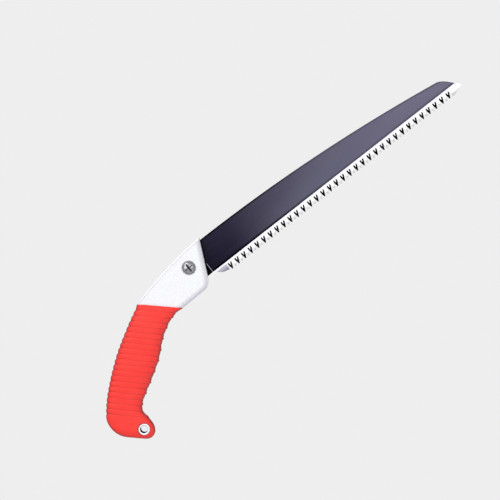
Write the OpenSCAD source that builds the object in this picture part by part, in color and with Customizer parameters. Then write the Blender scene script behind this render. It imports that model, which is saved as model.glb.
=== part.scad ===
// Folding pruning saw: a straight hollow-ground blade that folds into a two-part handle with a ribbed rubber grip.
// Modules work in the pivot frame: +X along the tooth line to the nose, +Z to the back of the blade, and the side
// with the screw head faces -Y. in_row_frame() then moves the origin to the middle of the hanging hole.

/* [Blade] */
// Distance from the pivot to the nose, along the tooth line
blade_reach = 235; // [220:1:240]
// Thickness of the tang
blade_t = 1.6; // [1.5:0.05:1.7]
// Thickness of the hollow-ground part
ground_t = 1.3; // [1.1:0.1:1.4]
// Distance from the pivot down to the tooth tips
tooth_line = 19.75; // [19:0.05:20]
// Height of a tooth
tooth_h = 5.4; // [3.5:0.1:5.5]
// Distance between neighbouring tooth tips
tooth_pitch = 3; // [2.5:0.25:4]
// Width of the flat that the point of a tooth ends in
tooth_flat = 0.7; // [0.1:0.1:0.8]
// Angle of the tooth bevels, which face the two sides in turn
tooth_bevel = 45; // [10:5:50]
// Radius of the long arc of the blade's back
back_r = 1300; // [1000:50:2000]

/* [Handle] */
// Half the width of the slot that the blade folds into
slot_h = 1.3; // [1.25:0.01:1.35]
// Half the thickness of the head
head_h = 8.5; // [8:0.1:9]
// Half the thickness of the grip at its fullest
grip_h = 11; // [10:0.25:13]
// Thickness of the steel liners
liner_t = 1.2; // [0.8:0.1:1.4]
// Half the thickness of the core under the rubber
core_h = 7; // [6:0.25:7.5]
// Thickness of rubber around the core
rubber_t = 3.2; // [2.5:0.1:4]
// Number of ribs on the grip
ribs = 19; // [10:1:24]
// Depth of the grooves between the ribs
groove_d = 0.7; // [0:0.1:1]

/* [Fittings] */
// Radius of the pivot screw's shank
bolt_r = 2.5; // [2:0.1:2.6]
// Radius of the pivot screw's head
bolt_head_r = 4.7; // [4.5:0.1:5.4]
// Outside radius of the sleeve that the blade turns on
sleeve_r = 4; // [3.5:0.1:4.2]
// Radius of the hanging hole
eyelet_r = 2.7; // [2:0.1:2.8]
// Radius of the handle screws
screw_r = 2; // [1.5:0.1:2]
// Angle that the lock lever rocks through
lock_travel = 5; // [3:0.5:5]

/* [Hidden] */
$fn = 64;

// clearances between parts that touch, turn and are pushed together
seat_gap = 0.02;
run_gap = 0.05;
side_gap = 0.1;

// back of the head: a long arc through its two ends
head_back = [-44.9, 2.15];
head_tip = [19.1, 12.3];
head_arc_r = 300;
head_chord = norm(head_tip - head_back);
head_lean = atan2(head_tip[1] - head_back[1], head_tip[0] - head_back[0]);
head_arc_d = sqrt(pow(head_arc_r, 2) - pow(head_chord / 2, 2));
head_arc_c = (head_back + head_tip) / 2 + head_arc_d * [sin(head_lean), -cos(head_lean)];
function spine_z(x) = head_arc_c[1] + sqrt(pow(head_arc_r, 2) - pow(x - head_arc_c[0], 2));

// rest of the head's outline, and the bevel along it
head_edge = 3;
head_front_low = [6.7, -13.6];
head_bottom = -19.65;
head_heel_x = -1;
head_corner = [3.4, -19.3];

// the grip is laid out in rows parallel to the joint line between head and rubber: s counts down the grip from
// that line, and t runs along a row from the back of the hand to the fingers
row_lean = 42.9;
row_t = [cos(row_lean), -sin(row_lean)];
row_s = [-sin(row_lean), -cos(row_lean)];
grip_end = 95.6;
butt_back_r = 13;
butt_front_r = 7;
back_knots = [[0, 0], [16, -5.8], [38, -12.1], [64, -16], [80, -16], [grip_end, -13]];
front_knots = [
    [0, 32.4], [3.5, 28.5], [10, 24.2], [22, 20.3], [38, 18.4], [52.5, 14.6], [63, 11.3], [71.5, 9.3], [76.5, 10.5],
    [81, 15.2], [86, 19.2], [grip_end, 21.2]
];
swell_knots = [[0, -1.5], [14, -0.2], [45, 0], [78, -1], [grip_end, -1.8]];

function slope(k, i) =
    let (a = max(i - 1, 0), b = min(i + 1, len(k) - 1))
    (k[b][1] - k[a][1]) / (k[b][0] - k[a][0]);
function cubic(k, i, s) =
    let (h = k[i + 1][0] - k[i][0], u = (s - k[i][0]) / h, v = 1 - u)
    k[i][1] * v * v * (1 + 2 * u) + k[i + 1][1] * u * u * (3 - 2 * u)
    + h * u * v * (slope(k, i) * v - slope(k, i + 1) * u);
function smooth(k, s) = cubic(k, max([for (j = [0:len(k) - 2]) k[j][0] <= s ? j : 0]), s);
// how far a rounded end of radius r has turned in at s
function turn_in(s, r) =
    let (over = s - grip_end + r)
    over > 0 ? r - sqrt(max(r * r - over * over, 0)) : 0;
function back_t(s) = smooth(back_knots, max(s, 0)) + turn_in(s, butt_back_r);
function front_t(s) = smooth(front_knots, max(s, 0)) - turn_in(s, butt_front_r);
function grip_at(s, t) = head_back + s * row_s + t * row_t;

// ribs: round crests with narrow grooves between them
rib_start = 4;
rib_pitch = 4;
rib_steps = 4;
function groove(s) =
    let (phase = (s - rib_start) / rib_pitch)
    phase < 0 || phase > ribs ? 0 : groove_d * pow(1 - abs(sin(180 * phase)), 1.5);

// liner: width of the rim around it, and the last row that it reaches
liner_rim = 1.4;
liner_end = 83;
// last row of the core under the rubber
core_end = 93;
// lip over the tang
lip_from = -1;
lip_to = 16;
lip_z = 9.68;

// hanging hole, which is the row frame's origin
eyelet_at = grip_at(88.7, 12.25);
eyelet_wall = 0.6;
eyelet_flange_r = 4.2;
eyelet_flange_t = 0.8;
eyelet_seat = 8.1;

// rings of the hub: cam for the lock, washers, and the pocket for the nut
cam_r = 9.5;
washer_r = 7;
washer_t = 0.44;
nut_flats = 8;
nut_t = 3.2;
nut_floor = 4.3;
spring_washer_t = 0.4;
bolt_seat = 0.6;

// lock lever and its tooth, drawn where the tooth is home in the cam, then turned back to the pressed rest pose
lever_at = [-20.3, 5.1];
lever_boss_r = 2.5;
lever_pin_r = 1.2;
lever_pin_h = 6;
tooth_from = 113.9;
tooth_to = 132.3;
fold_angle = 140;
notch_gap = 1.3;
notch_lean = 2.2;
notch_floor_r = 8;
notch_mouth_r = 12;
lever_flush = 0.1;
lever_tail_x = -39;
spring_x = -37.2;
spring_r = 1.15;
spring_wire = 0.19;
spring_low = -1.8;
spring_high = 1.6;
spring_turns = 4.5;
function polar(r, a) = r * [cos(a), sin(a)];
function about(p, c, a) = c + [
    (p - c)[0] * cos(a) - (p - c)[1] * sin(a),
    (p - c)[0] * sin(a) + (p - c)[1] * cos(a)
];
function pressed(p) = about(p, lever_at, lock_travel);

// the folded tooth line in grip rows: the spacer stays this far behind it
fold_line_t = 11.08;
fold_line_slope = -0.125;
fold_clear = 1.5;
spacer_w = 10;
spacer_low = 0.4;
screw_rows = [[14, 1], [44, -6], [75, -8.5]];

// teeth
first_tip = 24.65;
heel_z = -13.95;
teeth = floor((blade_reach - 10 - first_tip) / tooth_pitch) + 1;
gullet_z = -tooth_line + tooth_h;
lead = tooth_pitch / 3;
function back_z(x) = 10.95 - pow(x - 20, 2) / (2 * back_r);

function quad(a, b, c, n = 6) = [for (i = [0:n]) let (u = i / n) a * pow(1 - u, 2) + b * 2 * u * (1 - u) + c * u * u];
// vertex b of a counter-clockwise outline, moved inwards by d
function mitre(a, b, c, d) =
    let (
        p = (b - a) / norm(b - a),
        q = (c - b) / norm(c - b),
        n = [-p[1], p[0]],
        m = [-q[1], q[0]]
    )
    b + d * (n + m) / (1 + n * m);
function inset(p, d) =
    let (k = len(p))
    [for (i = [0:k - 1]) mitre(p[(i + k - 1) % k], p[i], p[(i + 1) % k], d)];

// outline of the head, with its joint line moved out by extra
function head_outline(extra = 0) = concat(
    [head_back + extra * row_s, grip_at(extra, front_t(0))],
    quad([head_heel_x, head_bottom], head_corner, head_front_low),
    [for (i = [0:8]) let (x = head_tip[0] + i / 9 * (head_back[0] - head_tip[0])) [x, spine_z(x)]]
);
// outline of the core from row s0 to row s1, wall inside the grip's outline, with its last row moved out by extra
function core_outline(s0, s1, wall, extra = 0) =
    let (rows = [for (i = [0:16]) s0 + (s1 - s0) * i / 16 + (i == 16 ? extra : 0)])
    concat(
        [for (i = [0:16]) grip_at(rows[i], back_t(rows[i]) + wall)],
        [for (i = [16:-1:0]) grip_at(rows[i], front_t(rows[i]) - wall)]
    );
function tang_outline() = [
    [0, -8], [2.3, -9.2], [head_front_low[0] + 0.4, heel_z], [12, heel_z], [12, 9.6], [1, 9.6], [0, 9.4]
];
function ground_outline() = concat(
    [[11.5, heel_z]],
    quad([13.5, heel_z], [16.5, -18.2], [21.5, -18.4]),
    [[22.5, -tooth_line], [first_tip + teeth * tooth_pitch + 0.7, -tooth_line]],
    quad([blade_reach - 1, -17.3], [blade_reach + 0.3, -16.9], [blade_reach - 0.4, -15.9], 4),
    quad([blade_reach - 7, -8.8], [blade_reach - 9.6, -6.0], [blade_reach - 13, back_z(blade_reach - 13)], 4),
    [for (i = [1:20]) let (x = blade_reach - 13 - (blade_reach - 30) * i / 20) [x, back_z(x)]],
    [[16, 9.6], [11.5, 9.6]]
);
// notch for the lever's tooth, with a mouth that leans the way the tooth comes in
function notch(a) =
    let (low = tooth_from - notch_gap, high = tooth_to + notch_gap)
    [
        polar(notch_floor_r, low + a), polar(notch_mouth_r, low - notch_lean + a),
        polar(notch_mouth_r, high + a), polar(notch_floor_r, high + a)
    ];
function lever_outline() = concat(
    [pressed(polar(9.55, tooth_from - 0.6)), pressed(polar(8.2, tooth_from)), pressed(polar(8.6, tooth_to))],
    [pressed(polar(9.6, tooth_to + 0.5)), [-9, 7.8], [-14.6, 6.85], [-17.5, 6.5]],
    [[-20, 4.6], [-24, 4.2], [-30, 3.3], [-33.5, 1.7], [lever_tail_x + 0.6, 1.7], [lever_tail_x, 2.3]],
    [for (i = [0:8]) let (x = lever_tail_x + (34.8) * i / 8) [x, spine_z(x) - lever_flush]]
);
function spacer_low_t(s) = min(back_t(s) + spacer_w, fold_line_t + fold_line_slope * s - fold_clear);
function spacer_outline() = concat(
    [[-24.6, 2.8], [-29, 1], [-32.3, 0.3]],
    [for (i = [0:14]) let (s = i * 6.7) grip_at(s, spacer_low_t(s))],
    [for (i = [14:-1:0]) let (s = i * 6.7) grip_at(s, back_t(s) + spacer_low)],
    [[-39.8, spine_z(-39.8) - lever_flush], [-39.8, 1.4], [spring_x - 1.4, 1.4], [spring_x - 1.4, spring_low - 0.1]],
    [[spring_x + 1.4, spring_low - 0.1], [spring_x + 1.4, 1.4], [-33.5, 1.4], [-30, 2.9], [-25, 3.7]]
);

// moves a drawing in the pivot frame to the row frame
module in_row_frame() {
    translate([-eyelet_at[0], 0, -eyelet_at[1]])
        children();
}
// outline in the XZ plane, filled from y0 to y1
module plate(outline, y0, y1) {
    rotate([90, 0, 0])
        translate([0, 0, -y1])
            linear_extrude(y1 - y0)
                polygon(outline);
}
// round bar along Y through the XZ point at, from y0 to y1
module bar(at, r, y0, y1) {
    translate([at[0], y1, at[1]])
        rotate([90, 0, 0])
            cylinder(r = r, h = y1 - y0);
}
// ring turned about Y through the XZ point at, from a profile of [radius, y] points
module ring(at, profile) {
    translate([at[0], 0, at[1]])
        rotate([-90, 0, 0])
            rotate_extrude()
                polygon(profile);
}
module screw_holes(r, y0, y1) {
    for (row = screw_rows)
        bar(grip_at(row[0], row[1]), r, y0, y1);
}

// face of the liner, gap inside its pocket in the frame; it stops short of the lip over the tang
module liner_face(gap) {
    difference() {
        union() {
            polygon(inset(head_outline(), liner_rim + gap));
            polygon(core_outline(-3, liner_end - gap, rubber_t + liner_rim + gap));
        }
        translate([lip_from - gap, lip_z - gap])
            square([40, 10]);
    }
}
// cuts the edge from a to b of a slab whose outline runs counter-clockwise and whose top is at y = head_h
module edge_cut(a, b, d) {
    translate([a[0], head_h - d, a[1]])
        rotate([0, -atan2(b[1] - a[1], b[0] - a[0]), 0])
            rotate([-135, 0, 0])
                translate([-20, -20, 0])
                    cube([120, 40, 20]);
}

module gullets() {
    deep = tooth_h + 0.6;
    // depth at which neighbouring gullets meet at mid thickness
    meet = tooth_h * tooth_pitch / (tooth_pitch + ground_t * tan(tooth_bevel) - tooth_flat);
    wide = tooth_pitch * deep / meet * cos(tooth_bevel);
    for (i = [0:teeth])
        translate([first_tip - lead + i * tooth_pitch, 0, gullet_z])
            rotate([0, 0, tooth_bevel * (i % 2 == 0 ? 1 : -1)])
                plate([[0, 0], [-wide * 2 / 3, -deep], [wide / 3, -deep]], -2, 2);
}

module blade() {
    color("#3a3748")
        in_row_frame()
            difference() {
                union() {
                    plate(tang_outline(), -blade_t / 2, blade_t / 2);
                    plate(ground_outline(), -ground_t / 2, ground_t / 2);
                    bar([0, 0], cam_r, -blade_t / 2, blade_t / 2);
                }
                bar([0, 0], sleeve_r + run_gap, -2, 2);
                plate(notch(0), -2, 2);
                plate(notch(fold_angle), -2, 2);
                gullets();
            }
}

// steel liner on the +Y side of the slot
module liner() {
    in_row_frame()
        difference() {
            rotate([90, 0, 0])
                translate([0, 0, -slot_h - liner_t])
                    linear_extrude(liner_t)
                        liner_face(seat_gap);
            bar([0, 0], sleeve_r + seat_gap, 0, 4);
            bar(lever_at, lever_pin_r + seat_gap, 0, 4);
            screw_holes(screw_r + side_gap, 0, 4);
        }
}
module right_liner() {
    color("silver")
        liner();
}
module left_liner() {
    color("silver")
        mirror([0, 1, 0])
            liner();
}

// head and core on the +Y side of the slot, with what both halves share
module frame_half() {
    outline = head_outline();
    sides = len(outline);
    difference() {
        union() {
            difference() {
                plate(outline, slot_h, head_h);
                for (i = [1:sides - 1])
                    edge_cut(outline[i], outline[(i + 1) % sides], head_edge);
            }
            plate(core_outline(-1, core_end, rubber_t), slot_h, core_h);
            // lip that closes the slot over the tang, and stops the open blade
            plate(concat([[lip_from, lip_z], [lip_to, lip_z]],
                [for (i = [0:4]) let (x = lip_to + (lip_from - lip_to) * i / 4) [x, spine_z(x) - 0.05]]),
                seat_gap / 2, slot_h + liner_t + 1);
        }
        rotate([90, 0, 0])
            translate([0, 0, -slot_h - liner_t])
                linear_extrude(slot_h + liner_t)
                    liner_face(0);
        bar([0, 0], bolt_r + side_gap, 0, 9);
        bar(lever_at, lever_pin_r + seat_gap, 0, lever_pin_h + side_gap);
        bar(eyelet_at, eyelet_r + eyelet_wall + seat_gap, 0, 9);
    }
}
module left_frame() {
    color("white")
        in_row_frame()
            difference() {
                mirror([0, 1, 0])
                    frame_half();
                bar([0, 0], bolt_head_r + 0.4, -head_h - 1, -head_h + bolt_seat);
                screw_holes(screw_r + seat_gap, -core_h + 0.8, 0);
            }
}
module right_frame() {
    color("white")
        in_row_frame()
            difference() {
                frame_half();
                translate([0, head_h + 1, 0])
                    rotate([90, 0, 0])
                        cylinder(r = (nut_flats + 0.2) / sqrt(3), h = head_h + 1 - nut_floor, $fn = 6);
                screw_holes(screw_r + side_gap, 0, 9);
            }
}

module spine_spacer() {
    color("dimgray")
        in_row_frame()
            difference() {
                plate(spacer_outline(), -slot_h + seat_gap, slot_h - seat_gap);
                screw_holes(screw_r + side_gap, -2, 2);
            }
}

// points of one row of the +Y grip, from the fingers round to the back of the hand
grip_sides = 10;
function grip_row(s) =
    let (
        mid = (front_t(s) + back_t(s)) / 2,
        half = (front_t(s) - back_t(s)) / 2 - groove(s),
        high = grip_h + smooth(swell_knots, s) - 0.8 * turn_in(s, 5) - slot_h - groove(s)
    )
    [for (k = [0:grip_sides])
        let (a = 180 * k / grip_sides, u = sign(cos(a)) * pow(abs(cos(a)), 0.62), p = grip_at(s, mid + half * u))
        [p[0], slot_h + high * pow(sin(a), 0.62), p[1]]];
grip_rows = concat(
    [0, rib_start / 2],
    [for (i = [0:ribs * rib_steps]) rib_start + i * rib_pitch / rib_steps],
    [for (i = [1:8]) let (s1 = rib_start + ribs * rib_pitch) s1 + (grip_end - s1) * sin(90 * i / 8)]
);
module grip_half() {
    n = grip_sides + 1;
    last = len(grip_rows) - 1;
    walls = [
        for (i = [0:last - 1], k = [0:grip_sides])
            let (a = i * n + k, b = i * n + (k + 1) % n)
            each [[a, b, b + n], [a, b + n, a + n]]
    ];
    ends = [[for (k = [grip_sides:-1:0]) k], [for (k = [0:grip_sides]) last * n + k]];
    difference() {
        polyhedron([for (s = grip_rows) each grip_row(s)], concat(walls, ends), convexity = 6);
        plate(core_outline(-1, core_end, rubber_t - seat_gap, seat_gap), 0, core_h + seat_gap);
        bar(eyelet_at, eyelet_r + eyelet_wall + seat_gap, 0, 20);
        bar(eyelet_at, eyelet_flange_r + run_gap, eyelet_seat, 20);
    }
}
module left_grip() {
    color("#ff4b41")
        in_row_frame()
            mirror([0, 1, 0])
                grip_half();
}
module right_grip() {
    color("#ff4b41")
        in_row_frame()
            difference() {
                grip_half();
                screw_holes(screw_r * 2, 0, 20);
            }
}

module pivot_bolt() {
    base = head_h - bolt_seat;
    dome = 2.4;
    rim = 1;
    // radius of the dome over the rim
    dome_r = (pow(bolt_head_r, 2) + pow(dome - rim, 2)) / (2 * (dome - rim));
    color("lightgray")
        in_row_frame()
            difference() {
                union() {
                    bar([0, 0], bolt_r, -base, head_h - 0.4);
                    ring([0, 0], concat([[0, -base], [bolt_head_r, -base]],
                        [for (i = [0:12]) let (x = bolt_head_r * (1 - i / 12))
                            [x, -base - dome + dome_r - sqrt(dome_r * dome_r - x * x)]]));
                }
                for (a = [0, 90])
                    translate([0, -base - dome - 0.1, 0])
                        rotate([0, a, 0])
                            translate([-3.2, 0, -0.6])
                                cube([6.4, 1.7, 1.2]);
            }
}
module pivot_sleeve() {
    color("gray")
        in_row_frame()
            difference() {
                bar([0, 0], sleeve_r, -slot_h - liner_t + seat_gap, slot_h + liner_t - seat_gap);
                bar([0, 0], bolt_r + run_gap, -4, 4);
            }
}
module pivot_nut() {
    low = nut_floor + 2 * spring_washer_t + run_gap;
    color("gray")
        in_row_frame()
            difference() {
                translate([0, low + nut_t, 0])
                    rotate([90, 0, 0])
                        cylinder(r = nut_flats / sqrt(3), h = nut_t, $fn = 6);
                bar([0, 0], bolt_r + seat_gap, 0, 10);
            }
}
module spring_washer() {
    in = bolt_r + 0.2;
    out = nut_flats / 2 - 0.1;
    color("gray")
        in_row_frame()
            ring([0, 0], [
                [out, nut_floor + seat_gap], [out, nut_floor + spring_washer_t],
                [in, nut_floor + 2 * spring_washer_t], [in, nut_floor + spring_washer_t + seat_gap]
            ]);
}
// washer between the blade and the +Y liner
module thrust_washer() {
    middle = (slot_h + blade_t / 2) / 2;
    in_row_frame()
        difference() {
            bar([0, 0], washer_r, middle - washer_t / 2, middle + washer_t / 2);
            bar([0, 0], sleeve_r + side_gap, 0, 2);
        }
}
module right_thrust_washer() {
    color("goldenrod")
        thrust_washer();
}
module left_thrust_washer() {
    color("goldenrod")
        mirror([0, 1, 0])
            thrust_washer();
}

module lock_lever() {
    color("gray")
        in_row_frame()
            difference() {
                union() {
                    plate(lever_outline(), -slot_h + side_gap, slot_h - side_gap);
                    bar(lever_at, lever_boss_r, -slot_h + side_gap, slot_h - side_gap);
                }
                bar(lever_at, lever_pin_r + run_gap, -2, 2);
            }
}
module lever_pin() {
    color("lightgray")
        in_row_frame()
            bar(lever_at, lever_pin_r, -lever_pin_h, lever_pin_h);
}
module lever_spring() {
    color("lightgray")
        in_row_frame()
            translate([spring_x, 0, spring_low])
                linear_extrude(spring_high - spring_low, twist = -360 * spring_turns, slices = 60, $fn = 6)
                    translate([spring_r - spring_wire, 0])
                        circle(r = spring_wire);
}

// three cap screws with hexagon sockets
module handle_screws() {
    head_r = screw_r * 1.75;
    head_t = screw_r;
    color("gray")
        in_row_frame()
            for (row = screw_rows)
                difference() {
                    union() {
                        bar(grip_at(row[0], row[1]), screw_r, -core_h + 1, core_h + seat_gap);
                        bar(grip_at(row[0], row[1]), head_r, core_h + seat_gap, core_h + head_t);
                    }
                    translate([grip_at(row[0], row[1])[0], core_h + head_t + 1, grip_at(row[0], row[1])[1]])
                        rotate([90, 0, 0])
                            cylinder(r = screw_r * 0.8, h = 2.4, $fn = 6);
                }
}

// flanged ferrule of the hanging hole, in the +Y half of the handle
module eyelet() {
    out = eyelet_r + eyelet_wall;
    fat = eyelet_flange_t;
    in_row_frame()
        ring(eyelet_at, concat(
            [[out, slot_h], [out, eyelet_seat], [eyelet_flange_r - fat / 2, eyelet_seat]],
            [for (a = [-90:30:90]) [eyelet_flange_r - fat / 2, eyelet_seat + fat / 2] + polar(fat / 2, a)],
            [[eyelet_r, eyelet_seat + fat], [eyelet_r, slot_h]]
        ));
}
module right_eyelet() {
    color("lightgray")
        eyelet();
}
module left_eyelet() {
    color("lightgray")
        mirror([0, 1, 0])
            eyelet();
}

blade();
left_liner();
right_liner();
left_frame();
right_frame();
spine_spacer();
left_grip();
right_grip();
pivot_bolt();
pivot_sleeve();
pivot_nut();
spring_washer();
left_thrust_washer();
right_thrust_washer();
lock_lever();
lever_pin();
lever_spring();
handle_screws();
left_eyelet();
right_eyelet();
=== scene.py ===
"""Looks of the folding pruning saw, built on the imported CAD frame.

Lengths are in millimetres in the pivot frame (origin in the pivot, +X along the tooth line, +Z to the
blade's back) until P() moves a point to the row frame in metres."""

import math

import bmesh
import bpy
import numpy as np
from mathutils import Matrix, Vector


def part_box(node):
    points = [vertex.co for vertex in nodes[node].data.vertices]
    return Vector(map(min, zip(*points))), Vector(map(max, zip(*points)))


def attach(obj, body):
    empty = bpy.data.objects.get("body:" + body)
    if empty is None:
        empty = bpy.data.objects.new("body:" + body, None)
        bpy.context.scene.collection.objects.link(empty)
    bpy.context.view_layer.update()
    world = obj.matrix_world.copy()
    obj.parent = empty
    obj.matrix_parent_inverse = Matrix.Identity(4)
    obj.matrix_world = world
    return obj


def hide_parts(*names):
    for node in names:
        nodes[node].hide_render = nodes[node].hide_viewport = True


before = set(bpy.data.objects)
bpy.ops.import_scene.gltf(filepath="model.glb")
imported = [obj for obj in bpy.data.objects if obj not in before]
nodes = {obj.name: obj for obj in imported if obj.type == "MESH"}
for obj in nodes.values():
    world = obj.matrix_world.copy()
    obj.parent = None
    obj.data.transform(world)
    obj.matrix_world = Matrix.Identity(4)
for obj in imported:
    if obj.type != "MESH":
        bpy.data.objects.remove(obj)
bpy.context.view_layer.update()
MM = 0.001


def centre(node):
    lo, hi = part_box(node)
    return (lo + hi) / 2


pivot = centre("pivot_sleeve")


def P(x, y, z):
    """Point of the pivot frame, in millimetres, as a point of the row frame in metres."""
    return (pivot.x + x * MM, y * MM, pivot.z + z * MM)


def on_frame(node):
    """Centre of a CAD node in the pivot frame's XZ plane."""
    c = centre(node)
    return ((c.x - pivot.x) / MM, (c.z - pivot.z) / MM)


# ---------------------------------------------------------------- shapes shared with the CAD part
SLOT_H = 1.3
HEAD_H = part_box("right_frame")[1].y / MM
GRIP_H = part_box("right_grip")[1].y / MM
CORE_H = 7.0
LINER_T = 1.2
LINER_RIM = 1.4
LINER_END = 83.0
RUBBER_T = 3.2
HEAD_BACK = np.array([-44.9, 2.15])
HEAD_TIP = np.array([19.1, 12.3])
HEAD_ARC_R = 300.0
FRONT_LOW = np.array([6.7, -13.6])
HEAD_HEEL = (-1.0, -19.65)
HEAD_CORNER = (3.4, -19.3)
ROW_LEAN = math.radians(42.9)
ROW_T = np.array([math.cos(ROW_LEAN), -math.sin(ROW_LEAN)])
ROW_S = np.array([-math.sin(ROW_LEAN), -math.cos(ROW_LEAN)])
GRIP_END = 95.6
REACH = 235.0
BACK_KNOTS = [(0, 0), (16, -5.8), (38, -12.1), (64, -16), (80, -16), (GRIP_END, -13)]
FRONT_KNOTS = [(0, 32.4), (3.5, 28.5), (10, 24.2), (22, 20.3), (38, 18.4), (52.5, 14.6),
               (63, 11.3), (71.5, 9.3), (76.5, 10.5), (81, 15.2), (86, 19.2), (GRIP_END, 21.2)]
SWELL_KNOTS = [(0, -1.5), (14, -0.2), (45, 0), (78, -1), (GRIP_END, -1.8)]
SCREW_ROWS = [(14, 1), (44, -6), (75, -8.5)]
RIB_START, RIB_PITCH, RIBS = 4.0, 4.0, 19
BUTT_BACK_R, BUTT_FRONT_R = 13, 7
CORE_END = 93
LIP_FROM, LIP_TO, LIP_Z = -1, 16, 9.68
BOLT_R, BOLT_HOLE_R = 2.5, 2.6
HANDLE_SCREW_HOLE_R, HANDLE_SCREW_SINK_R = 2.1, 4.0
NUT_POCKET_FLATS, NUT_FLOOR = 8.2, 4.3
EYE_R, EYE_OUT_R, EYE_FLANGE_R, EYE_FLANGE_T, EYE_SEAT = 2.7, 3.3, 4.2, 0.8, 8.1
EYE_HOLE_R, EYE_SINK_R = 3.32, 4.3
SCREW_R, SCREW_BASE, SCREW_TOP, SCREW_RIM = 4.7, HEAD_H - 0.6, HEAD_H + 1.8, 0.9
DOME_H = SCREW_TOP - SCREW_BASE - SCREW_RIM
DOME_R = (SCREW_R ** 2 + DOME_H ** 2) / (2 * DOME_H)
EYE_AT = on_frame("right_eyelet")

_chord = HEAD_TIP - HEAD_BACK
_lean = math.atan2(_chord[1], _chord[0])
_arc_d = math.sqrt(HEAD_ARC_R ** 2 - (np.linalg.norm(_chord) / 2) ** 2)
ARC_C = (HEAD_BACK + HEAD_TIP) / 2 + _arc_d * np.array([math.sin(_lean), -math.cos(_lean)])


def spine_z(x, r=HEAD_ARC_R):
    """Height at x of the head's back, or of an arc of radius r round the same centre."""
    return ARC_C[1] + math.sqrt(r * r - (x - ARC_C[0]) ** 2)


def smooth(knots, s):
    """Smooth curve through the knots, at s."""
    i = max([j for j in range(len(knots) - 1) if knots[j][0] <= s] or [0])

    def slope(j):
        a, b = max(j - 1, 0), min(j + 1, len(knots) - 1)
        return (knots[b][1] - knots[a][1]) / (knots[b][0] - knots[a][0])

    h = knots[i + 1][0] - knots[i][0]
    u = (s - knots[i][0]) / h
    v = 1 - u
    return (knots[i][1] * v * v * (1 + 2 * u) + knots[i + 1][1] * u * u * (3 - 2 * u)
            + h * u * v * (slope(i) * v - slope(i + 1) * u))


def turn_in(s, r):
    """How far a round end of radius r has turned in at row s."""
    over = s - GRIP_END + r
    return r - math.sqrt(max(r * r - over * over, 0)) if over > 0 else 0.0


def back_t(s):
    return smooth(BACK_KNOTS, max(s, 0)) + turn_in(s, BUTT_BACK_R)


def front_t(s):
    return smooth(FRONT_KNOTS, max(s, 0)) - turn_in(s, BUTT_FRONT_R)


def grip_at(s, t):
    """XZ point at row s of the grip, t across it from back to fingers."""
    return HEAD_BACK + s * ROW_S + t * ROW_T


def quad(a, b, c, n):
    """Curve from a to c that is pulled towards b, in n steps."""
    a, b, c = (np.array(v, float) for v in (a, b, c))
    return [a * (1 - i / n) ** 2 + b * 2 * i / n * (1 - i / n) + c * (i / n) ** 2
            for i in range(n + 1)]


def bump(x, width):
    return math.exp(-((x / width) ** 2))


# ---------------------------------------------------------------- mesh helpers
def new_object(name, data):
    obj = bpy.data.objects.new(name, data)
    bpy.context.scene.collection.objects.link(obj)
    return obj


def mesh_from(name, verts, faces):
    """Object from points in the pivot frame, in millimetres, with its faces turned outwards."""
    mesh = bpy.data.meshes.new(name)
    mesh.from_pydata([P(*v) for v in verts], [], faces)
    bm = bmesh.new()
    bm.from_mesh(mesh)
    bmesh.ops.remove_doubles(bm, verts=bm.verts, dist=1e-7)
    bmesh.ops.recalc_face_normals(bm, faces=bm.faces)
    bm.to_mesh(mesh)
    bm.free()
    return new_object(name, mesh)


def prism(name, outline, y0, y1):
    """Outline in the XZ plane, filled from y0 to y1."""
    n = len(outline)
    verts = [(p[0], y0, p[1]) for p in outline] + [(p[0], y1, p[1]) for p in outline]
    faces = [list(range(n)), list(range(2 * n - 1, n - 1, -1))]
    faces += [[i, i + n, (i + 1) % n + n, (i + 1) % n] for i in range(n)]
    return mesh_from(name, verts, faces)


def stack(name, verts, n):
    """Solid through rings of n points each, closed by the first and the last ring."""
    last = len(verts) - n
    faces = [[r + k, r + (k + 1) % n, r + (k + 1) % n + n, r + k + n]
             for r in range(0, last, n) for k in range(n)]
    faces += [list(range(n)), list(range(last + n - 1, last - 1, -1))]
    return mesh_from(name, verts, faces)


def lathe(name, at, profile, n=96):
    """Closed profile of (radius, y) points turned about Y through the XZ point at."""
    verts, faces, k = [], [], len(profile)
    for i in range(n):
        a = 2 * math.pi * i / n
        verts += [(at[0] + r * math.cos(a), y, at[1] + r * math.sin(a)) for r, y in profile]
    for i in range(n):
        for j in range(k):
            a, b = i * k + j, i * k + (j + 1) % k
            c, d = (i + 1) % n * k + (j + 1) % k, (i + 1) % n * k + j
            faces.append([a, b, c, d])
    return mesh_from(name, verts, faces)


def circle(at, r, n):
    turns = [2 * math.pi * i / n for i in range(n)]
    return [(at[0] + r * math.cos(a), at[1] + r * math.sin(a)) for a in turns]


def bar(name, at, r, y0, y1):
    return prism(name, circle(at, r, 64), y0, y1)


def rounded(profile, r, steps=4):
    """Profile with each corner turned into an arc-like curve that starts r before the corner."""
    out, k = [], len(profile)
    pts = [np.array(p, float) for p in profile]
    for i in range(k):
        a, b, c = pts[i - 1], pts[i], pts[(i + 1) % k]
        ra = min(r, np.linalg.norm(a - b) * 0.45)
        rc = min(r, np.linalg.norm(c - b) * 0.45)
        p = b + (a - b) / np.linalg.norm(a - b) * ra
        q = b + (c - b) / np.linalg.norm(c - b) * rc
        out += quad(p, b, q, steps)
    return [tuple(v) for v in out]


def apply_modifiers(obj):
    bpy.context.view_layer.update()
    made = obj.evaluated_get(bpy.context.evaluated_depsgraph_get())
    made = bpy.data.meshes.new_from_object(made)
    obj.modifiers.clear()
    obj.data = made


def boolean(obj, cutters, operation="DIFFERENCE"):
    """Cuts or joins the cutters, and removes them."""
    for c in cutters:
        m = obj.modifiers.new("cut", "BOOLEAN")
        m.operation, m.solver, m.object = operation, "EXACT", c
    apply_modifiers(obj)
    for c in cutters:
        bpy.data.objects.remove(c)
    return obj


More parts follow.
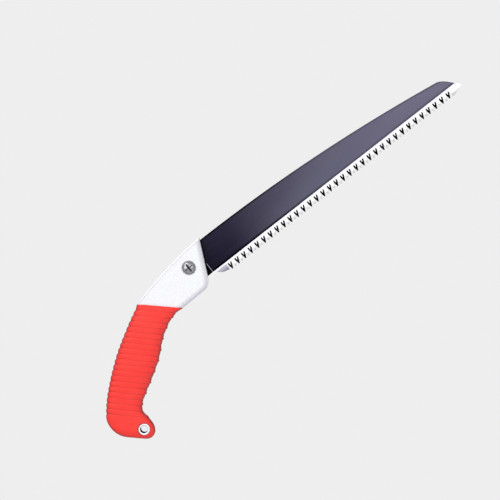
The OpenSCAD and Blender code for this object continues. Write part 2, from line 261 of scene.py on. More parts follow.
def mirrored(obj, name):
    """Copy of obj on the other side of the blade's plane."""
    mesh = obj.data.copy()
    mesh.transform(Matrix.Scale(-1, 4, (0, 1, 0)))
    mesh.flip_normals()
    return new_object(name, mesh)


def paint(mesh, material):
    mesh.materials.clear()
    mesh.materials.append(material)


def add_bevel(obj, width, angle):
    m = obj.modifiers.new("edge", "BEVEL")
    m.width, m.segments = width * MM, 2
    m.limit_method, m.angle_limit = "ANGLE", math.radians(angle)
    m.use_clamp_overlap = True


def finish_piece(obj, replaced, material, sharp=32, bevel=0.0):
    """Makes obj the visible piece of the handle that stands for the CAD node replaced."""
    paint(obj.data, material)
    if bevel:
        add_bevel(obj, bevel, 35)
        apply_modifiers(obj)
    obj.data.shade_smooth()
    obj.data.set_sharp_from_angle(angle=math.radians(sharp))
    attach(obj, "handle")
    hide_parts(replaced)


# ---------------------------------------------------------------- materials
class Tree:
    """Small expression builder over a material's nodes, in millimetres of the pivot frame."""

    def __init__(self, name):
        self.mat = bpy.data.materials.new(name)
        self.mat.use_nodes = True
        self.t = self.mat.node_tree
        self.bsdf = self.t.nodes["Principled BSDF"]
        coords = self.t.nodes.new("ShaderNodeTexCoord")
        shift = self.t.nodes.new("ShaderNodeVectorMath")
        shift.operation = "SUBTRACT"
        self.link(coords.outputs["Object"], shift.inputs[0])
        shift.inputs[1].default_value = (pivot.x, 0, pivot.z)
        scale = self.t.nodes.new("ShaderNodeVectorMath")
        scale.operation = "SCALE"
        scale.inputs["Scale"].default_value = 1 / MM
        self.link(shift.outputs[0], scale.inputs[0])
        self.pos = scale.outputs[0]
        self.x, self.y, self.z = self.split(self.pos)
        self.nx, self.ny, _ = self.split(coords.outputs["Normal"])

    def link(self, a, b):
        self.t.links.new(a, b)

    def put(self, value, socket):
        if isinstance(value, (int, float)):
            socket.default_value = value
        elif isinstance(value, tuple):
            full = len(value) == len(socket.default_value)
            socket.default_value = value if full else (*value, 1)
        else:
            self.link(value, socket)

    def split(self, vector):
        n = self.t.nodes.new("ShaderNodeSeparateXYZ")
        self.link(vector, n.inputs[0])
        return n.outputs[0], n.outputs[1], n.outputs[2]

    def math(self, op, a, b=0.0, c=0.0):
        n = self.t.nodes.new("ShaderNodeMath")
        n.operation = op
        for v, s in zip((a, b, c), n.inputs):
            self.put(v, s)
        return n.outputs[0]

    def add(self, a, b):
        return self.math("ADD", a, b)

    def sub(self, a, b):
        return self.math("SUBTRACT", a, b)

    def mul(self, a, b):
        return self.math("MULTIPLY", a, b)

    def abs(self, a):
        return self.math("ABSOLUTE", a)

    def hypot(self, a, b):
        return self.math("SQRT", self.add(self.mul(a, a), self.mul(b, b)))

    def from_point(self, at):
        """Distance in the XZ plane from the point at."""
        return self.hypot(self.sub(self.x, at[0]), self.sub(self.z, at[1]))

    def along(self, kx, kz, c):
        """kx * x + kz * z + c"""
        return self.add(self.math("MULTIPLY_ADD", self.x, kx, c), self.mul(self.z, kz))

    def step(self, a, lo, hi, out0=0.0, out1=1.0):
        """out0 below lo, out1 above hi, and a smooth change between them."""
        n = self.t.nodes.new("ShaderNodeMapRange")
        n.interpolation_type = "SMOOTHSTEP"
        if lo > hi:
            lo, hi, out0, out1 = hi, lo, out1, out0
        for v, s in zip((a, lo, hi, out0, out1), n.inputs):
            self.put(v, s)
        return n.outputs[0]

    def ramp(self, a, stops):
        """Colour along a, from (place, colour) stops."""
        n = self.t.nodes.new("ShaderNodeValToRGB")
        while len(n.color_ramp.elements) < len(stops):
            n.color_ramp.elements.new(0.5)
        for e, (place, colour) in zip(n.color_ramp.elements, stops):
            e.position, e.color = place, (*colour, 1)
        self.link(a, n.inputs[0])
        return n.outputs[0]

    def mix(self, share, a, b):
        n = self.t.nodes.new("ShaderNodeMix")
        n.data_type = "RGBA"
        self.put(share, n.inputs[0])
        self.put(a, n.inputs[6])
        self.put(b, n.inputs[7])
        return n.outputs[2]

    def tint(self, colour, value):
        """Colour times a number."""
        n = self.t.nodes.new("ShaderNodeVectorMath")
        n.operation = "SCALE"
        self.put(colour if not isinstance(colour, tuple) else colour[:3], n.inputs[0])
        self.put(value, n.inputs["Scale"])
        return n.outputs[0]

    def noise(self, scale, detail=3.0, stretch=(1, 1, 1)):
        """Noise with features of about 1 / scale millimetres."""
        m = self.t.nodes.new("ShaderNodeMapping")
        m.inputs["Scale"].default_value = tuple(scale * v for v in stretch)
        self.link(self.pos, m.inputs[0])
        n = self.t.nodes.new("ShaderNodeTexNoise")
        n.inputs["Scale"].default_value = 1.0
        n.inputs["Detail"].default_value = detail
        n.inputs["Roughness"].default_value = 0.5
        self.link(m.outputs[0], n.inputs["Vector"])
        return n.outputs["Fac"]

    def bump(self, height, depth):
        """Bump whose height of 1 is depth millimetres."""
        n = self.t.nodes.new("ShaderNodeBump")
        n.inputs["Strength"].default_value = 1.0
        n.inputs["Distance"].default_value = depth * MM
        self.link(height, n.inputs["Height"])
        return n.outputs[0]

    def set(self, **values):
        for key, v in values.items():
            self.put(v, self.bsdf.inputs[key.replace("_", " ")])
        return self.mat


def srgb(r, g, b):
    """Linear colour of an sRGB colour in levels of 0 to 255."""
    shares = (c / 255 for c in (r, g, b))
    return tuple(c / 12.92 if c <= 0.04045 else ((c + 0.055) / 1.055) ** 2.4 for c in shares)


BACKDROP = srgb(238, 238, 238)
SHADE_RED = srgb(150, 18, 30)
NEAR_BLACK = srgb(12, 11, 14)


def white_paint():
    """White paint, with the shade of the head's rolled edges painted in."""
    t = Tree("head_white_paint")
    side = t.step(t.abs(t.ny), 0.97, 0.75)
    cloud = t.noise(0.12, 2)
    edge = t.mix(t.step(t.nx, 0.3, 0.8), srgb(222, 219, 230), srgb(244, 243, 247))
    base = t.mix(side, srgb(243, 243, 245), edge)
    base = t.tint(base, t.step(cloud, 0.3, 0.7, 0.985, 1.0))
    specks = t.step(t.noise(1.4, 2), 0.72, 0.78)
    base = t.mix(t.mul(specks, 0.1), base, srgb(205, 203, 208))
    peel = t.noise(1.1, 1)
    rough = t.step(t.noise(0.5, 3), 0.3, 0.7, 0.2, 0.3)
    return t.set(Base_Color=base, Roughness=rough, IOR=1.5, Coat_Weight=0.6,
                 Coat_Roughness=0.08, Normal=t.bump(peel, 0.006))


def red_rubber():
    """Red rubber, with painted shade on its sides, round the eyelet and in the grooves."""
    t = Tree("grip_red_rubber")
    fine = t.noise(3.2, 2)
    coarse = t.noise(0.09, 3)
    base = t.mix(t.step(coarse, 0.3, 0.7), srgb(255, 60, 50), srgb(255, 55, 46))
    # painted shade on the sides, which turn away from the face
    edge = t.step(t.abs(t.ny), 0.8, 0.15)
    base = t.mix(t.mul(edge, 0.9), base, SHADE_RED)
    # painted shade in a ring round the eyelet, where the rubber dips to the flange seat
    base = t.mix(t.step(t.from_point(EYE_AT), 5.1, 4.2, 0.0, 0.6), base, SHADE_RED)
    # painted shade: dark lines in the grooves between the ribs, fainter on the middle of the face
    s = t.along(ROW_S[0], ROW_S[1], -float(HEAD_BACK @ ROW_S))
    phase = t.math("FRACT", t.math("DIVIDE", t.sub(s, RIB_START), RIB_PITCH))
    line = t.step(t.abs(t.sub(phase, 0.5)), 0.42, 0.5)
    inside = t.mul(t.step(s, 2.5, 3.5), t.step(s, 81.5, 80.8))
    fade = t.step(t.abs(t.ny), 1.0, 0.8, 0.34, 0.66)
    base = t.mix(t.mul(t.mul(line, inside), fade), base, SHADE_RED)
    dust = t.step(t.noise(2.2, 2), 0.7, 0.8)
    base = t.mix(t.mul(dust, 0.08), base, srgb(255, 150, 140))
    return t.set(Base_Color=base, Roughness=t.step(fine, 0.3, 0.7, 0.5, 0.68), IOR=1.45,
                 Normal=t.bump(t.add(fine, t.mul(t.noise(0.8, 2), 0.5)), 0.03))


def coating(t, from_edge, nose):
    """Dark coating. Its slow change from heel to nose is painted, after the reflection in the photo."""
    x, z = t.x, t.z
    share = t.math("DIVIDE", x, REACH)
    # painted reflection: the coating brightens from heel to nose, a little differently on the lower and
    # the upper part
    low = t.ramp(share, [(0.05, srgb(27, 25, 39)), (0.15, srgb(36, 34, 50)),
                         (0.23, srgb(63, 61, 77)), (0.32, srgb(86, 83, 100)),
                         (0.42, srgb(96, 94, 112)), (0.7, srgb(108, 105, 125)),
                         (1.0, srgb(114, 111, 130))])
    high = t.ramp(share, [(0.05, srgb(33, 31, 45)), (0.17, srgb(46, 43, 60)),
                          (0.28, srgb(68, 65, 82)), (0.4, srgb(82, 79, 97)),
                          (0.52, srgb(96, 93, 111)), (0.75, srgb(110, 107, 127)),
                          (1.0, srgb(114, 112, 130))])
    coat = t.mix(t.step(z, -12, 7), low, high)
    mottle = t.noise(0.04, 3, (0.35, 1, 1))
    coat = t.tint(coat, t.step(mottle, 0.3, 0.7, 0.95, 1.04))
    # dark rim along the coating's outline
    crown_x, crown_z, back_r = 20.0, 10.95, 1300
    from_crown = t.math("POWER", t.sub(x, crown_x), 2.0)
    back = t.math("MULTIPLY_ADD", from_crown, -1 / (2 * back_r), crown_z)
    rim = t.math("MINIMUM", t.math("MINIMUM", t.sub(back, z), t.mul(from_edge, 0.8)), nose)
    dark_rim = t.step(t.step(x, 30.0, 150.0), 0.0, 1.0, 0.12, 0.62)
    coat = t.mix(t.step(rim, 1.6, 0.7), coat, t.tint(coat, dark_rim))
    # painted shadow beside the head's front edge, dark tang, and a light line at the tang's shoulder
    front = FRONT_LOW - HEAD_TIP
    out_x, out_z = -front[1] / np.linalg.norm(front), front[0] / np.linalg.norm(front)
    head_shadow_dist = t.along(out_x, out_z, -float(FRONT_LOW @ (out_x, out_z)))
    # painted shadow: near black close to the head's front edge
    coat = t.mix(t.step(head_shadow_dist, 1.3, 0.6, 0.0, 0.8), coat, NEAR_BLACK)
    coat = t.mix(t.step(x, 11.9, 11.5), coat, NEAR_BLACK)
    shoulder = t.mul(t.step(t.abs(t.sub(x, 11.8)), 0.28, 0.14), t.step(z, -4.5, -6.5))
    return t.mix(shoulder, coat, srgb(165, 163, 172))


def bare_strip(t):
    """Polished strip along the teeth, grey on the ramp at the heel, with painted shade on the tips."""
    x, z = t.x, t.z
    grind = t.noise(0.5, 4, (30, 1, 0.6))
    bare = t.mix(t.step(grind, 0.25, 0.75), srgb(236, 236, 240), srgb(250, 250, 252))
    ramp_zone = t.mul(t.step(x, 23.2, 22.2), t.step(z, -13.9, -14.6))
    ramp_grey = t.mix(t.step(z, -15.0, -18.4), srgb(178, 174, 188), srgb(112, 108, 124))
    bare = t.mix(t.mul(ramp_zone, 0.95), bare, ramp_grey)
    # painted shade on the tooth tips
    tip_shade = t.mul(t.step(z, -16.6, -18.9), t.step(x, 23.2, 23.8))
    return t.mix(t.mul(tip_shade, 0.9), bare, srgb(188, 187, 186))


def tooth_strokes(t):
    """Two short dark strokes painted on the flat above each pair of tooth bevels."""
    pitch, pair, first, lead = 3.0, 6.0, 24.9, 1.8
    x, z = t.x, t.z
    far = t.step(t.ny, -0.1, 0.1)
    turn = t.sub(t.sub(x, first - lead), t.mul(far, pitch))
    turn = t.sub(t.mul(t.math("FRACT", t.math("DIVIDE", turn, pair)), pair), lead)
    low = t.math("MULTIPLY_ADD", t.sub(x, 25.0), 0.0022, t.add(z, 14.75))
    left = t.step(t.abs(t.add(turn, 0.84)), 0.64, 0.5)
    right_at = t.math("MULTIPLY_ADD", low, 0.2, 1.35)
    right = t.step(t.abs(t.sub(turn, right_at)), 0.58, 0.42)
    rows = t.mul(t.step(low, 0.12, -0.12), t.step(low, -1.9, -1.6))
    stroke = t.mul(t.math("MAXIMUM", left, t.mul(right, 0.9)), rows)
    return t.mul(stroke, t.mul(t.step(x, 22.6, 23.2), t.step(x, 226.6, 226.0)))


def blade_steel():
    """Dark coating over the blade, bare polished strip along the teeth, and dark tooth bevels."""
    t = Tree("blade_coated_steel")
    x, z = t.x, t.z
    from_edge = t.add(z, 13.05)
    nose = t.sub(t.math("MULTIPLY_ADD", z, -0.93, 219.9), x)
    coated = t.mul(t.step(from_edge, -0.05, 0.05), t.step(nose, -0.05, 0.05))
    base = t.mix(coated, bare_strip(t), coating(t, from_edge, nose))
    bevel = t.mul(t.step(t.abs(t.ny), 0.95, 0.85), t.step(z, -14.2, -14.9))
    bevel = t.math("MAXIMUM", bevel, tooth_strokes(t))
    base = t.mix(bevel, base, srgb(12, 12, 15))
    scratches = t.step(t.noise(0.9, 3, (0.05, 1, 3)), 0.62, 0.72)
    base = t.mix(t.mul(t.mul(scratches, coated), 0.05), base, srgb(150, 148, 160))
    rough = t.step(t.noise(0.7, 3, (0.3, 1, 1)), 0.3, 0.7, 0.3, 0.42)
    height = t.noise(0.9, 3, (25, 1, 0.8))
    shiny = t.mul(t.sub(1.0, coated), t.sub(1.0, bevel))
    return t.set(Base_Color=base, Metallic=t.mul(shiny, 0.35), Roughness=rough,
                 Normal=t.bump(height, 0.004), Specular_IOR_Level=t.mul(shiny, 0.3))


def steel(name, light, dark, rough, stretch=(1, 1, 1), scale=1.5):
    """Plain metal between two colours, with a grain that stretch turns into brushing."""
    t = Tree(name)
    grain = t.noise(scale, 4, stretch)
    patch = t.noise(0.25, 3)
    base = t.mix(t.step(grain, 0.25, 0.75), srgb(*dark), srgb(*light))
    base = t.tint(base, t.step(patch, 0.3, 0.7, 0.9, 1.0))
    wear = t.step(t.noise(scale * 0.7, 3, stretch), 0.3, 0.7, rough * 0.8, rough * 1.25)
    return t.set(Base_Color=base, Metallic=1.0, Roughness=wear, Normal=t.bump(grain, 0.006))


def nylon():
    t = Tree("spacer_black_nylon")
    grain = t.noise(2.0, 3)
    base = t.mix(t.step(grain, 0.3, 0.7), srgb(34, 34, 37), srgb(48, 48, 51))
    return t.set(Base_Color=base, Roughness=t.step(grain, 0.3, 0.7, 0.45, 0.6),
                 Normal=t.bump(grain, 0.02))


def screw_steel():
    """Turned steel with a darker rim, painted shade in its cross and two painted glints."""
    t = Tree("pivot_screw_steel")
    radius = t.hypot(t.x, t.z)
    turned = t.math("SINE", t.mul(radius, 22.0))
    base = t.mix(t.step(radius, 3.2, 4.0), srgb(166, 164, 167), srgb(146, 144, 147))
    base = t.mix(t.step(radius, 4.1, 4.6), base, srgb(112, 110, 114))
    for at, size in (((-1.9, 1.5), 1.15), ((2.1, 0.0), 1.3)):
        away = t.add(t.from_point(at), t.mul(t.noise(1.3, 2), 0.4))
        base = t.mix(t.step(away, size + 0.35, size - 0.3), base, srgb(246, 246, 247))
    base = t.tint(base, t.step(turned, -1, 1, 0.95, 1.0))
    # painted shade in the cross recess: grey, and near black in the arm that runs along Z
    dome = t.math("MULTIPLY_ADD", t.mul(radius, radius), -1 / (2 * DOME_R), SCREW_TOP)
    deep = t.mul(t.step(t.add(t.y, dome), 0.15, 0.35), t.step(radius, 3.5, 3.3))
    arm = t.step(t.abs(t.x), 0.75, 0.6)
    base = t.mix(deep, base, t.mix(arm, srgb(104, 102, 106), srgb(20, 19, 22)))
    rough = t.step(t.noise(1.5, 3), 0.3, 0.7, 0.2, 0.32)
    height = t.mul(turned, t.step(t.noise(0.6, 2), 0.3, 0.7))
    return t.set(Base_Color=base, Metallic=0.5, Roughness=rough, Normal=t.bump(height, 0.004))


def eyelet_steel():
    """Bright ferrule, with painted shade and a dull finish inside its bore."""
    t = Tree("eyelet_steel")
    # painted shade inside the bore, which is also rough and not metallic there
    shaded_bore = t.step(t.from_point(EYE_AT), 2.95, 2.75)
    scuff = t.noise(1.6, 4)
    base = t.mix(t.step(scuff, 0.3, 0.7), srgb(236, 236, 239), srgb(246, 246, 248))
    base = t.mix(shaded_bore, base, srgb(44, 44, 58))
    rough = t.math("MAXIMUM", t.step(scuff, 0.3, 0.7, 0.18, 0.3), t.mul(shaded_bore, 0.9))
    return t.set(Base_Color=base, Metallic=t.step(shaded_bore, 0, 1, 0.35, 0.0), Roughness=rough,
                 Specular_IOR_Level=t.step(shaded_bore, 0, 1, 0.5, 0.0), Normal=t.bump(scuff, 0.005))


PAINT = white_paint()
SCREW = screw_steel()
EYELET = eyelet_steel()
RUBBER = red_rubber()
BLADE = blade_steel()
POLISHED = steel("polished_steel", (225, 225, 230), (200, 200, 206), 0.18)
BRUSHED = steel("brushed_steel", (190, 190, 194), (158, 158, 163), 0.3, (1, 1, 12))
LEVER = steel("lever_dark_steel", (112, 112, 118), (84, 84, 90), 0.36, (0.3, 1, 4))
LINER = steel("liner_steel", (176, 177, 182), (150, 151, 156), 0.32, (0.15, 1, 2.5), 2.0)
BRONZE = steel("washer_bronze", (205, 160, 92), (176, 128, 70), 0.3)
NYLON = nylon()


# ---------------------------------------------------------------- rubber grip
SIDES = 72


def groove(s):
    """Share of the full groove depth at row s."""
    phase = (s - RIB_START) / RIB_PITCH
    if phase < -0.5 or phase > RIBS + 0.5:
        return 0.0
    near = abs(phase - round(phase)) * RIB_PITCH
    if round(phase) < 0 or round(phase) > RIBS:
        return 0.0
    return (1 - min(near / 1.7, 1)) ** 2.0


def front_ridge(s):
    """Narrow ridges on the finger side at every second groove."""
    first, every, width = RIB_START + 3.6, 2 * RIB_PITCH, 0.75
    return sum(bump(s - (first + every * k), width) for k in range(10))


def grip_section(s):
    """(t, y) points round one row, from the fingers over the face to the back of the hand."""
    g = groove(s)
    lip = 0.2 * (1 - math.sqrt(max(1 - (1 - min(s / 0.6, 1)) ** 2, 0)))
    collar = 0.42 * bump(s - 0.5, 1.2)
    full = 0.42 + 0.2 * min(s / 7, 1)
    ridge = 0.85 * front_ridge(s) * (1 if s < 82 else 0)
    back = back_t(s) + 0.6 * g + lip - collar
    front = front_t(s) - 0.35 * g + ridge - lip + collar
    mid, half = (front + back) / 2, (front - back) / 2
    swell = smooth(SWELL_KNOTS, min(s, GRIP_END))
    high = GRIP_H + swell - 0.8 * turn_in(s, 5) - SLOT_H - lip
    out = []
    for k in range(SIDES + 1):
        a = math.pi * k / SIDES
        u = math.copysign(abs(math.cos(a)) ** full, math.cos(a))
        w = math.sin(a) ** full if 0 < k < SIDES else 0.0
        # every second groove fades on the finger side
        even = 1.0 if round((s - RIB_START) / RIB_PITCH) % 2 == 0 else 0.5 + 0.5 * (u < 0)
        fade = even if u < 0.1 else even * (1 - 0.6 * (even < 1) * u)
        face = (0.12 + 0.42 * abs(u) ** 3) * fade
        out.append((mid + half * u, SLOT_H + (high - face * g) * w))
    return out


def grip_rows():
    """Rows along the grip: close together at the joint line, over the ribs and round the butt."""
    fine, ribbed, butt_rows = 0.3, 0.4, 28
    rows = [i * fine for i in range(4)]
    s = 1.2
    while s < RIB_START + RIBS * RIB_PITCH + 3:
        rows.append(s)
        s += ribbed
    rest = GRIP_END - rows[-1]
    return rows + [rows[-1] + rest * math.sin(math.pi / 2 * i / butt_rows)
                   for i in range(1, butt_rows + 1)]


def grip_half():
    """Rubber of the +Y half, hollow over the core."""
    verts = []
    for s in grip_rows():
        inner = s <= CORE_END
        y1 = CORE_H if inner else SLOT_H
        pad = 0 if inner else 0.6
        b, f = back_t(s) + RUBBER_T, front_t(s) - RUBBER_T
        ring = grip_section(s) + [(b, SLOT_H), (b + pad, y1), (f - pad, y1), (f, SLOT_H)]
        for tt, y in ring:
            x, z = grip_at(s, tt)
            verts.append((x, y, z))
    return stack("right_grip_rubber", verts, len(ring))


FAR_OUT = 20
right_grip = grip_half()
boolean(right_grip, [bar("c", EYE_AT, EYE_HOLE_R, -1, FAR_OUT),
                     bar("c", EYE_AT, EYE_SINK_R, EYE_SEAT, FAR_OUT)])
left_grip = mirrored(right_grip, "left_grip_rubber")
boolean(right_grip, [bar("c", grip_at(*row), HANDLE_SCREW_SINK_R, CORE_H, FAR_OUT)
                     for row in SCREW_ROWS])
finish_piece(right_grip, "right_grip", RUBBER, sharp=48)
finish_piece(left_grip, "left_grip", RUBBER, sharp=48)


# ---------------------------------------------------------------- head and core
def on_arc(p, e, r):
    """Where the line through p along e leaves the circle of radius r round ARC_C."""
    w = p - ARC_C
    b = w @ e
    return p + e * (math.sqrt(b * b - w @ w + r * r) - b)


def head_ring(front_in=0.0, spine_in=0.0, joint_in=0.0):
    """Outline of the head, counter-clockwise from the back of the joint line, each side moved in."""
    r = HEAD_ARC_R - spine_in
    joint = HEAD_BACK - joint_in * ROW_S
    line = [grip_at(-joint_in, front_t(0))] + quad(HEAD_HEEL, HEAD_CORNER, FRONT_LOW, 14)
    line.append(HEAD_TIP)
    ways = [(b - a) / np.linalg.norm(b - a) for a, b in zip(line, line[1:])]
    ins = [np.array([-e[1], e[0]]) for e in ways]
    ring = [on_arc(joint + 5 * ROW_T, -ROW_T, r)]
    first = line[0] + ins[0] * front_in
    ring.append(first + ways[0] * (((joint - first) @ ROW_S) / (ways[0] @ ROW_S)))
    for i in range(1, len(line) - 1):
        ring.append(line[i] + (ins[i - 1] + ins[i]) * front_in / (1 + ins[i - 1] @ ins[i]))
    tip = on_arc(line[-2] + ins[-1] * front_in, ways[-1], r)
    for x in np.linspace(tip[0], ring[0][0], 26)[:-1]:
        ring.append(np.array([x, spine_z(x, r)]))
    return ring


def head_solid():
    """Head with rolled edges: a wall, a curve that ends in a faint crease, and a flat face."""
    wide, high, stop, steps = 5.4, 3.7, math.radians(70), 10
    wall_top, crease = 3.0, 0.3
    spine_share, joint_out = 0.36, 0.25
    base = HEAD_H - high * math.sin(stop)
    levels = [(0.0, SLOT_H), (0.0, wall_top)]
    for i in range(steps + 1):
        a = stop * i / steps
        levels.append((wide * (1 - math.cos(a)), base + high * math.sin(a)))
    levels.append((levels[-1][0] + crease, HEAD_H))
    verts = []
    for d, y in levels:
        ring = head_ring(d, spine_share * d, -joint_out)
        verts += [(q[0], min(y, HEAD_H), q[1]) for q in ring]
    return stack("right_head", verts, len(ring))


def core_outline(s0, s1, wall, n=48):
    """Outline of the core, or of a pocket in it, from row s0 to row s1, wall inside the grip's."""
    rows = [s0 + (s1 - s0) * i / n for i in range(n + 1)]
    return ([grip_at(s, back_t(s) + wall) for s in rows]
            + [grip_at(s, front_t(s) - wall) for s in reversed(rows)])


right_head = head_solid()
lip = [(LIP_FROM, LIP_Z), (LIP_TO, LIP_Z)]
lip += [(x, spine_z(x) - 0.05) for x in np.linspace(LIP_TO, LIP_FROM, 9)]
boolean(right_head, [prism("c", core_outline(-1, CORE_END, RUBBER_T), SLOT_H, CORE_H),
                     prism("c", lip, 0.01, SLOT_H + LINER_T + 1)], "UNION")

# pocket for the liner, which stops short of the lip
liner_top = SLOT_H + LINER_T
pocket = prism("c", head_ring(LINER_RIM, LINER_RIM, LINER_RIM), 0, liner_top)
behind = core_outline(-3, LINER_END, RUBBER_T + LINER_RIM)
boolean(pocket, [prism("c", behind, 0, liner_top)], "UNION")
over_lip = [(LIP_FROM, LIP_Z), (40, LIP_Z), (40, 20), (LIP_FROM, 20)]
boolean(pocket, [prism("c", over_lip, -1, 5)])

boolean(right_head, [pocket, bar("c", (0, 0), BOLT_HOLE_R, 0, 9), bar("c", EYE_AT, EYE_HOLE_R, 0, 9)])
left_head = mirrored(right_head, "left_head")
seat = [(0.01, -SCREW_BASE), (SCREW_R + 0.4, -SCREW_BASE),
        (SCREW_R + 0.7, -HEAD_H - 1), (0.01, -HEAD_H - 1)]
boolean(left_head, [lathe("c", (0, 0), rounded(seat, 0.1, 1))])
hexagon = circle((0, 0), NUT_POCKET_FLATS / math.sqrt(3), 6)
boolean(right_head, [prism("c", hexagon, NUT_FLOOR, HEAD_H + 1)]
        + [bar("c", grip_at(*row), HANDLE_SCREW_HOLE_R, 0, 9) for row in SCREW_ROWS])
finish_piece(right_head, "right_frame", PAINT, sharp=14)
finish_piece(left_head, "left_frame", PAINT, sharp=14)


# ---------------------------------------------------------------- pivot screw, eyelets and fittings
def pivot_screw():
    """Screw with a rim and a shallow dome, and a cross cut into it."""
    r, rim, shank_from = SCREW_R, SCREW_RIM, HEAD_H - 0.4
    dome = SCREW_TOP - SCREW_BASE
    base, top = -SCREW_BASE, -SCREW_BASE - dome
    profile = [(0.0001, shank_from), (BOLT_R, shank_from), (BOLT_R, base), (r, base)]
    profile += quad((r, base - rim * 0.5), (r, base - rim), (r - 0.5, base - rim - 0.18), 5)
    profile += [(x, top + DOME_R - math.sqrt(DOME_R ** 2 - x * x))
                for x in np.linspace(r - 0.7, 0.0001, 14)]
    screw = lathe("pivot_screw", (0, 0), profile, 128)
    arm_long, arm_half, deep = 3.2, 0.6, 1.6
    arm = rounded([(-arm_long, -arm_half), (arm_long, -arm_half),
                   (arm_long, arm_half), (-arm_long, arm_half)], 0.3)
    cutters = []
    for a in (0, 90):
        c, d = math.cos(math.radians(a)), math.sin(math.radians(a))
        turned = [(p[0] * c - p[1] * d, p[0] * d + p[1] * c) for p in arm]
        cutters.append(prism("c", turned, top - 0.2, top + deep))
    return boolean(screw, cutters)


finish_piece(pivot_screw(), "pivot_bolt", SCREW, sharp=30, bevel=0.06)


def eyelet():
    """Ferrule with a round flange and a rounded mouth."""
    mouth, half = 0.45, EYE_FLANGE_T / 2
    face, edge = EYE_SEAT + EYE_FLANGE_T, EYE_FLANGE_R - half
    profile = [(EYE_OUT_R, SLOT_H), (EYE_OUT_R, EYE_SEAT), (edge, EYE_SEAT)]
    profile += [(edge + half * math.cos(a), EYE_SEAT + half + half * math.sin(a))
                for a in np.linspace(-math.pi / 2, math.pi / 2, 12)]
    profile += quad((EYE_R + mouth, face), (EYE_R, face), (EYE_R, face - mouth), 6)
    profile += [(EYE_R, SLOT_H)]
    return lathe("right_eyelet_ring", EYE_AT, profile)


right_ring = eyelet()
left_ring = mirrored(right_ring, "left_eyelet_ring")
finish_piece(right_ring, "right_eyelet", EYELET)
finish_piece(left_ring, "left_eyelet", EYELET)


def cad_look(name, material, bevel):
    """Keeps a CAD node, with a finer edge and a material."""
    obj = nodes[name]
    paint(obj.data, material)
    obj.modifiers.new("weld", "WELD").merge_threshold = 1e-6
    if bevel:
        add_bevel(obj, bevel, 40)
    obj.modifiers.new("normals", "WEIGHTED_NORMAL").keep_sharp = False


paint(nodes["blade"].data, BLADE)
FINE_EDGE = 0.12
for name, material, bevel in (
        ("left_liner", LINER, 0),
        ("right_liner", LINER, 0),
        ("spine_spacer", NYLON, FINE_EDGE),
        ("lock_lever", LEVER, FINE_EDGE),
        ("lever_pin", POLISHED, FINE_EDGE),
        ("lever_spring", POLISHED, 0),
        ("pivot_sleeve", BRUSHED, FINE_EDGE),
        ("pivot_nut", BRUSHED, FINE_EDGE),
        ("spring_washer", BRUSHED, 0),
        ("handle_screws", BRUSHED, FINE_EDGE),
        ("left_thrust_washer", BRONZE, 0),
        ("right_thrust_washer", BRONZE, 0)):
    cad_look(name, material, bevel)


# ---------------------------------------------------------------- camera, light and floor
ROLL = math.radians(38.04)
RIGHT = Vector((math.cos(ROLL), 0, -math.sin(ROLL)))
UP = Vector((math.sin(ROLL), 0, math.cos(ROLL)))
TO_CAMERA = Vector((0, -1, 0))
VIEW_WIDTH = 358.8 * MM
LENS = 220.0
SENSOR = 36.0
look_at = Vector(P(42.33, 0, -16.9))

cam_data = bpy.data.cameras.new("camera")
cam_data.type, cam_data.lens, cam_data.sensor_width = "PERSP", LENS, SENSOR
cam_data.clip_end = 50
cam = new_object("camera", cam_data)
facing = Matrix((RIGHT, UP, TO_CAMERA)).transposed().to_4x4()
distance = VIEW_WIDTH * LENS / SENSOR
cam.matrix_world = Matrix.Translation(look_at + TO_CAMERA * distance) @ facing
bpy.context.scene.camera = cam


def softbox(name, right, up, out, size, power):
    """Square area light aimed at the saw, placed in metres along the camera's axes."""
    light = bpy.data.lights.new(name, "AREA")
    light.shape, light.size, light.energy = "SQUARE", size, power
    obj = new_object(name, light)
    place = look_at + RIGHT * right + UP * up + TO_CAMERA * out
    obj.location = place
    obj.rotation_mode = "QUATERNION"
    obj.rotation_quaternion = (place - look_at).to_track_quat("Z", "Y")
    obj.visible_camera = False


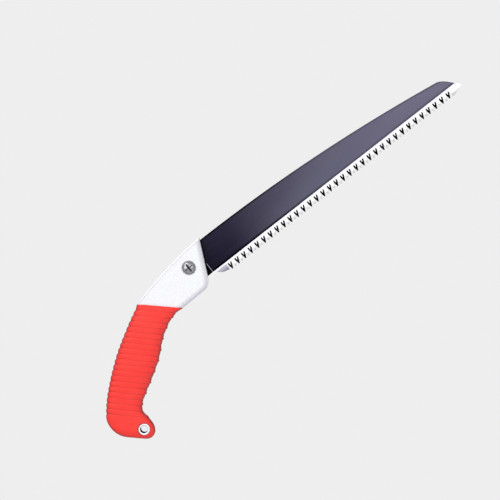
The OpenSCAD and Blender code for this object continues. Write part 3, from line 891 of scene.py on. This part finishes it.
softbox("key", -0.9, 1.1, 1.0, 1.2, 17)
softbox("front", 0.3, 0.1, 2.0, 1.6, 10.2)
softbox("rear", -0.3, 0.9, -1.7, 1.4, 14)

world = bpy.data.worlds.new("studio")
bpy.context.scene.world = world
world.use_nodes = True
wt = world.node_tree
wt.nodes.clear()


def background(colour, strength):
    n = wt.nodes.new("ShaderNodeBackground")
    n.inputs["Color"].default_value = (*colour, 1)
    n.inputs["Strength"].default_value = strength
    return n.outputs[0]


# the camera sees the pale backdrop, and the saw is lit by a cooler, weaker one
world_out = wt.nodes.new("ShaderNodeOutputWorld")
mixer = wt.nodes.new("ShaderNodeMixShader")
path = wt.nodes.new("ShaderNodeLightPath")
wt.links.new(path.outputs["Is Camera Ray"], mixer.inputs[0])
wt.links.new(background((0.93, 0.94, 1.0), 0.53), mixer.inputs[1])
wt.links.new(background(BACKDROP, 1.0), mixer.inputs[2])
wt.links.new(mixer.outputs[0], world_out.inputs[0])

FLOOR_Z, FLOOR_HALF = -0.42, 6.0
floor_mesh = bpy.data.meshes.new("floor")
corners = ((-1, -1), (1, -1), (1, 1), (-1, 1))
floor_mesh.from_pydata([(a * FLOOR_HALF, b * FLOOR_HALF, FLOOR_Z) for a, b in corners],
                       [], [[0, 1, 2, 3]])
floor = new_object("floor", floor_mesh)


def floor_look():
    """Matt and pale under the saw; further out it fades into the backdrop."""
    t = Tree("floor_pale")
    fade = t.step(t.hypot(t.x, t.y), 500.0, 1600.0)
    seen = t.t.nodes.new("ShaderNodeLightPath").outputs["Is Camera Ray"]
    near = t.mix(t.noise(0.02, 3), srgb(236, 236, 237), srgb(240, 240, 240))
    return t.set(Base_Color=t.mix(fade, near, (0.0, 0.0, 0.0)), Roughness=0.8,
                 Specular_IOR_Level=t.step(fade, 0, 1, 0.3, 0.0), Emission_Color=BACKDROP,
                 Emission_Strength=t.mul(fade, t.step(seen, 0, 1, 0.55, 1.0)))


floor_mesh.materials.append(floor_look())

bpy.context.scene.view_settings.view_transform = "Standard"
bpy.context.scene.view_settings.look = "None"
